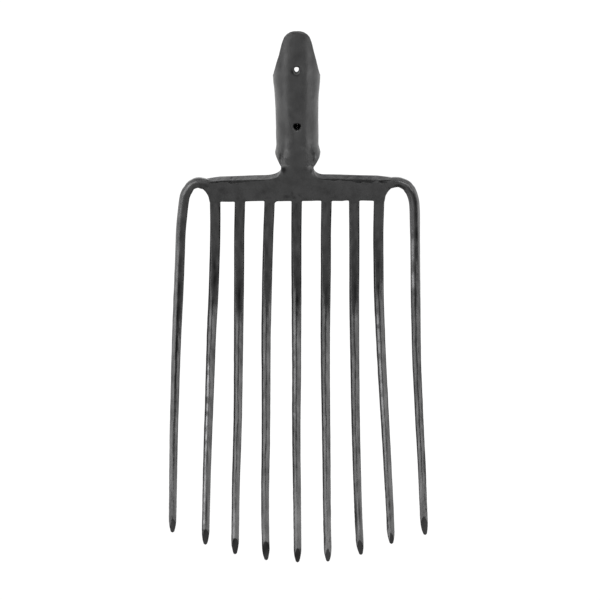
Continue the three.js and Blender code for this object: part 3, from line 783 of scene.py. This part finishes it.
# The socket
# Steel sheet rolled round a mandrel into an open-seamed tube, welded to the neck at its foot. Its
# front runs up into a tongue, and two holes are punched in it for the handle's nails.
socket_wall = 3
waist_radius, mouth_radius, heel_radius = 19.3, 21.7, 20.4
heel_height, waist_height, mouth_height = 41, 87, 116
heel_flare, back_heel_rise, seam_corner_drop = 9, 9, 9
foot_inside = 24
sheet_edge_round = 1.1
seam_gap_low, seam_gap_mouth = 0.03, 2.4
# The tube isn't quite round or straight: how far its middle stands aside and its sides stand out
tube_heights = (30, 34, 38, 41, 44, 50, 56, 61, 73, 85, 97, 103, 108, 114, 120, 126, 138, 160)
tube_offsets = (
    1.1, 1.3, 1.53, 1.32, 1.27, 0.97, 0.9, 0.8, 0.66, 0.5, 0.3, 0.35, 0.27, 0.17, 0.2, 0.3, 0.45, 0.6,
)
tube_spreads = (
    0.3, 0.7, 1.05, 0.94, 0.51, 0.4, 0.6, 0.5, 0.56, 0.69, 0.97, 0.88, 0.66, 0.25, 0.55, 0.6, 0.35, 0.3,
)
# Dull black pits in it, written like the plate's
sheet_pits = (
    (-3.5, 122.8, 1.6, 2.4, 1.2), (0, 120.4, 2.2, 1.4, 1.5), (3.8, 124, 1, 2, 0.7),
    (-15.2, 42, 0.9, 2.6, 1), (-15.6, 39, 0.8, 0.9, 1.2), (-10, 42, 1.8, 4, 0.35),
    (16.2, 37.8, 0.8, 1.6, 1), (16.8, 44, 1, 0.8, 0.6), (1.5, 137, 3.6, 4.5, 0.3),
    (-3, 158.6, 2.2, 0.7, 0.7), (-9, 63, 2.4, 3, 0.12), (7.5, 46, 2.4, 3, 0.12),
    (-13, 104, 2.2, 5, 0.16), (11.5, 92, 2.4, 6, 0.12),
)
# Steel bared by scuffs at its foot
sheet_scuffs = ((-14, 36.4, 0.6, 2.2, 0.9), (18, 40.2, 0.9, 1.8, 1), (11, 35, 1.2, 1.2, 0.3))
# Dents in its front, with their depths
sheet_dents = (
    (-3.2, 158.4, 1.6, 1.4, 0.2), (-3.6, 121.6, 1.3, 1.6, 0.22), (2, 136.5, 3, 4.5, 0.22),
    (-14.6, 39.5, 1.6, 3.4, 0.3), (13.4, 38.5, 1.4, 3, 0.26), (-8, 96, 3.5, 6, 0.14),
    (9.5, 84, 3, 5, 0.12), (5.5, 52, 3.2, 3.4, 0.14), (-6.5, 60, 3.4, 4, 0.12),
    (7, 110, 3, 6, 0.12), (-10.5, 112, 2.6, 4, 0.12), (0.5, 82.5, 2, 3.6, 0.1),
)
# Blows that shaped it
sheet_blows = ((0.28, 34, 21), (0.2, 13, 22), (0.08, 5.5, 23))


def socket_radius(height):
    """Radius of the tube's outside: the heel flares at the foot, the waist is straight, and the
    mouth widens with the square of a smooth rise."""
    mouth = smooth_rise(height, waist_height, mouth_height) ** 2
    heel = 1 - smooth_rise(height, heel_height, heel_height + heel_flare)
    tube = waist_radius + (mouth_radius - waist_radius) * mouth
    return tube + (heel_radius - tube) * heel


def socket_place(angle, height, depth):
    """A point of the tube at an angle from the middle of its front, a height and a depth in its
    wall. Towards the neck the front turns flat: 1 - (1 - cos)^power in place of the cosine."""
    radius = socket_radius(height) - depth
    axis = bar_thickness / 2 - radius - depth
    facing = np.cos(angle)
    forward = np.where(facing > 0, 1 - (1 - np.maximum(facing, 0)) ** flat_power(height), facing)
    offset = np.interp(height, tube_heights, tube_offsets)
    spread = 1.014 * radius + np.interp(height, tube_heights, tube_spreads)
    return np.stack([offset + spread * np.sin(angle), height, axis + radius * forward], -1)


# Upper edge of the tongue: its heights at shares of the socket's half width
tongue_across = (0, 0.08, 0.16, 0.31, 0.443, 0.54, 0.602, 0.641, 0.708, 0.772, 0.84, 0.903, 0.968, 1)
tongue_edge = (
    160.6, 160.6, 160.45, 159.5, 157.5, 154.9, 151.4, 148.5, 141.9, 135.9, 129.9, 124.1, 118.4, 114.8,
)


def socket_top(angle):
    """Upper edge: the tongue at the front, given by its heights at shares of the half width, the
    mouth round the sides, and a rounded corner at each side of the seam."""
    away = np.abs(angle)
    tongue = np.interp(np.sin(np.minimum(away, math.pi / 2)), tongue_across, tongue_edge)
    back = mouth_height - seam_corner_drop * smooth_rise(away, 0.8 * math.pi, math.pi)
    return np.where(away < math.pi / 2, tongue, back)


def socket_foot(angle):
    """Lower edge: inside the neck at the front, then up to the heel round the sides."""
    away = np.abs(angle)
    neck = math.asin(neck_half_width / waist_radius)
    front = foot_inside + (foot_front - foot_inside) * smooth_rise(away, neck - 0.3, neck - 0.05)
    rise = np.clip((away - neck + 0.05) / (math.pi / 2 - neck), 0, 1)
    side = front + (heel_height - foot_front) * (1 - (1 - rise) ** 1.5)
    return side + back_heel_rise * smooth_rise(away, math.pi / 2, math.pi)


def socket_rings():
    """One ring for each angle round the tube: up the outside, over the rounded upper edge, down
    the inside and under the rounded lower edge. The rings close in at the seam's two edges."""
    angle = np.linspace(-math.pi, math.pi, 241)
    top, foot = socket_top(angle)[:, None], socket_foot(angle)[:, None]
    low, high = foot + sheet_edge_round, top - sheet_edge_round
    turn = np.linspace(0, math.pi / 2, 5)
    lift, bite = sheet_edge_round * np.sin(turn), sheet_edge_round * (1 - np.cos(turn))
    outside, inside = np.linspace(0, 1, 130), np.linspace(1, 0, 60)[1:]
    height = np.concatenate([
        low + (high - low) * outside, high + lift[1:], high + lift[::-1],
        low + (high - low) * inside, low - lift[1:], low - lift[:0:-1],
    ], 1)
    depth = np.concatenate([
        0 * outside, bite[1:], socket_wall - bite[::-1],
        0 * inside + socket_wall, socket_wall - bite[1:], bite[:0:-1],
    ])
    gap = seam_gap_low + (seam_gap_mouth - seam_gap_low) * smooth_rise(height, 78, mouth_height) ** 1.5
    open_from = math.pi - gap / (2 * waist_radius)
    angle = angle[:, None] * (1 - (1 - open_from / math.pi) * (np.abs(angle[:, None]) / math.pi) ** 6)
    rings = socket_place(angle, height, depth)
    sunk = 0.3 * (1 - smooth_rise(height, 24, 34)) * (1 - smooth_rise(np.abs(angle), 0.7, 1.1))
    rings[..., 2] -= sunk + dented(rings, sheet_dents) * (np.cos(angle) > 0)
    out = socket_place(angle, height, depth - 1) - socket_place(angle, height, depth)
    behind = smooth_rise(np.abs(angle), 1.9, 2.6)
    uneven = hammered_face(rings, sheet_blows) - (0.1 + 0.24 * behind)
    fade = smooth_rise(height, 30, 45)
    rings = rings + out * (uneven * fade)[..., None]
    rings[..., 2] += hammered_face(rings, plate_blows) * (1 - smooth_rise(height, 34, round_above))
    return rings


sheet_finish = lacquered_steel(
    "sheet_lacquer", dark=(0.005, 0.005, 0.0052), light=(0.013, 0.013, 0.0133), dull=0.4, bright=0.3,
    blow_scale=70, grain_scale=1100, stretch=0.6, bump=0.55, sheen=0.12,
)
sheet_rings = socket_rings()
in_front = sheet_rings[..., 2] > -3
sheet_marks = {
    mask: np.clip(dented(sheet_rings, marks), 0, 1) * in_front
    for mask, marks in (("worn", sheet_scuffs), ("matt", sheet_pits))
}
socket_sheet = skin("socket_sheet", sheet_rings, sheet_finish, "rolled_sheet", **sheet_marks)

# Each nail hole: place across and up, radius, how far its bell reaches beyond it at the face, how
# much wider than tall it is, and how far its lower side is drawn to a corner
nail_holes = ((0.6, 71.2, 2.95, 0.45, 1.19, 0.36), (0.2, 124.9, 2.1, 2, 1, 0.3))


def nail_punch(across, height, radius, bell, oval, corner):
    """A punch that flares towards the front: the hole's radius, and a bell at the face. Its lower
    side reaches out by the corner times the fourth power of the downward sine, and its upper side
    is flattened by half as much."""
    depth = np.array([-4, 1.6, 2.6, 3.2, 3.8, 4.3, 4.6, 7])
    swell = np.array([0, 0, 0.06, 0.2, 0.45, 0.8, 1.1, 3.4]) * bell
    turn = np.linspace(0, 2 * math.pi, 48, endpoint=False)
    shape = 1 + corner * (np.maximum(-np.sin(turn), 0) ** 4 - 0.5 * np.maximum(np.sin(turn), 0) ** 4)
    wide = (radius + swell)[:, None] * shape
    return np.stack(
        [across + oval * wide * np.cos(turn), height + wide * np.sin(turn), depth[:, None] + 0 * turn], -1
    )


for hole in nail_holes:
    punch = skin("punch", nail_punch(*hole), sheet_finish, "rolled_sheet")
    cut = socket_sheet.modifiers.new("nail_hole", "BOOLEAN")
    cut.operation = "DIFFERENCE"
    cut.solver = "EXACT"
    cut.object = punch
    graph = bpy.context.evaluated_depsgraph_get()
    punched = bpy.data.meshes.new_from_object(socket_sheet.evaluated_get(graph))
    socket_sheet.modifiers.clear()
    socket_sheet.data = punched
    bpy.data.objects.remove(punch)
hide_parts("socket")


# The floor, the lights and the camera
# A plain white table under a soft top light and two tall side lights. The camera looks straight
# down on the head, from two and a half metres.
reach = 4
floor_mesh = bpy.data.meshes.new("floor")
floor_mesh.from_pydata(
    [(-reach, -reach, 0), (reach, -reach, 0), (reach, reach, 0), (-reach, reach, 0)], [], [(0, 1, 2, 3)]
)
add_object("floor", floor_mesh)
floor_finish = bpy.data.materials.new("white_table")
floor_finish.use_nodes = True
tree = floor_finish.node_tree
table = tree.nodes["Principled BSDF"]
for name, value in (
    ("Base Color", (0.87, 0.87, 0.87, 1)), ("Roughness", 0.9),
    ("Emission Color", (1, 1, 1, 1)), ("Emission Strength", 0.25),
):
    table.inputs[name].default_value = value
glow = add_node(tree, "Emission", {"Strength": 1.05})["Emission"]
seen = add_node(tree, "LightPath", {})["Is Camera Ray"]
pick = add_node(tree, "MixShader", {"Fac": seen, 1: table.outputs["BSDF"], 2: glow})["Shader"]
tree.links.new(pick, tree.nodes["Material Output"].inputs["Surface"])
floor_mesh.materials.append(floor_finish)

world = bpy.data.worlds.new("studio")
world.use_nodes = True
tree = world.node_tree
seen = add_node(tree, "LightPath", {})["Is Camera Ray"]
white = add_node(tree, "MapRange", {"Value": seen, "To Min": 0.2, "To Max": 1.05})["Result"]
background = tree.nodes["Background"]
background.inputs["Color"].default_value = (1, 1, 1, 1)
tree.links.new(white, background.inputs["Strength"])
scene.world = world


def softbox(name, place, size, radiance):
    """A rectangular studio light at a place, turned to the head, of a given brightness."""
    light = bpy.data.lights.new(name, "AREA")
    light.shape = "RECTANGLE"
    light.size, light.size_y = size
    light.energy = 4 * radiance * size[0] * size[1]
    lamp = add_object(name, light)
    lamp.location = place
    lamp.rotation_euler = Vector(place).to_track_quat("Z", "Y").to_euler()
    lamp.visible_camera = False


softbox("left_light", (-1.6, 0.35, 1.75), (1.7, 2), 2.5)
softbox("left_strip", (-1.7, 0.35, 1.5), (1.5, 0.5), 1.3)
softbox("right_light", (1.3, 0.35, 2), (1.5, 1.6), 2.7)
softbox("top_light", (0, 0.95, 2.3), (1.2, 1.1), 3)
softbox("front_card", (0, -1.1, 2.25), (2.4, 1.6), 0.58)
softbox("left_card", (-1.95, -0.9, 0.7), (1.4, 1.5), 1.3)
softbox("right_card", (1.95, -0.9, 0.65), (1.4, 1.5), 1.7)

camera_data = bpy.data.cameras.new("camera")
camera_data.lens = 158.45
camera_data.sensor_width = 36.0
camera = add_object("camera", camera_data)
camera.location = (0.0016, -0.0006, 2.5)
scene.camera = camera
scene.view_settings.view_transform = "Standard"
